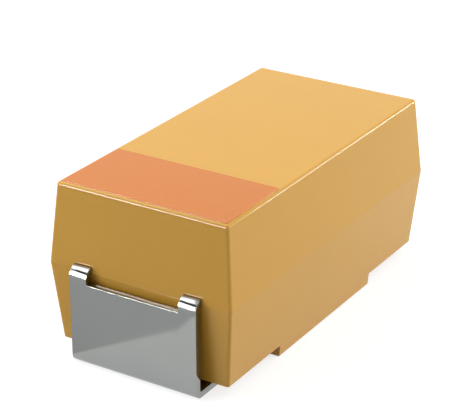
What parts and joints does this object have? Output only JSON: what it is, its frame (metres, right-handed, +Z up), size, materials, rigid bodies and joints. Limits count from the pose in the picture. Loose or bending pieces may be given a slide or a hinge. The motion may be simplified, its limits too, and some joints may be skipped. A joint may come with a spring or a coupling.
{
  "type": "tantalum chip capacitor",
  "caption": "Surface-mount tantalum capacitor in a drafted moulded case, with a polarity band and terminals folded down the ends and under the body.",
  "frame": {"origin": "middle of the footprint, on the board surface that the feet rest on", "axes": "+X along the length from the positive end to the negative end, +Y across the width, +Z up from the board"},
  "size_m": [0.0062, 0.0032, 0.0027],
  "materials": {
    "moulded_epoxy": "moulded epoxy, semi-gloss",
    "marking_ink": "printed ink film, semi-gloss",
    "tin_plating": "bright tin plate on the lead frame",
    "sintered_tantalum": "sintered, matt",
    "tantalum_wire": "drawn wire",
    "washer_ptfe": "skived PTFE",
    "manganese_dioxide": "matt coat",
    "graphite": "dried graphite coat",
    "silver_paint": "silver paint, matt",
    "silver_epoxy": "conductive adhesive, matt"
  },
  "bodies": {
    "root": {"moulded_case": "moulded_epoxy", "polarity_band": "marking_ink", "positive_terminal": "tin_plating", "negative_terminal": "tin_plating", "tantalum_pellet": "sintered_tantalum", "riser_wire": "tantalum_wire", "insulating_washer": "washer_ptfe", "manganese_dioxide_layer": "manganese_dioxide", "carbon_layer": "graphite", "silver_layer": "silver_paint", "silver_adhesive": "silver_epoxy"}
  },
  "joints": []
}
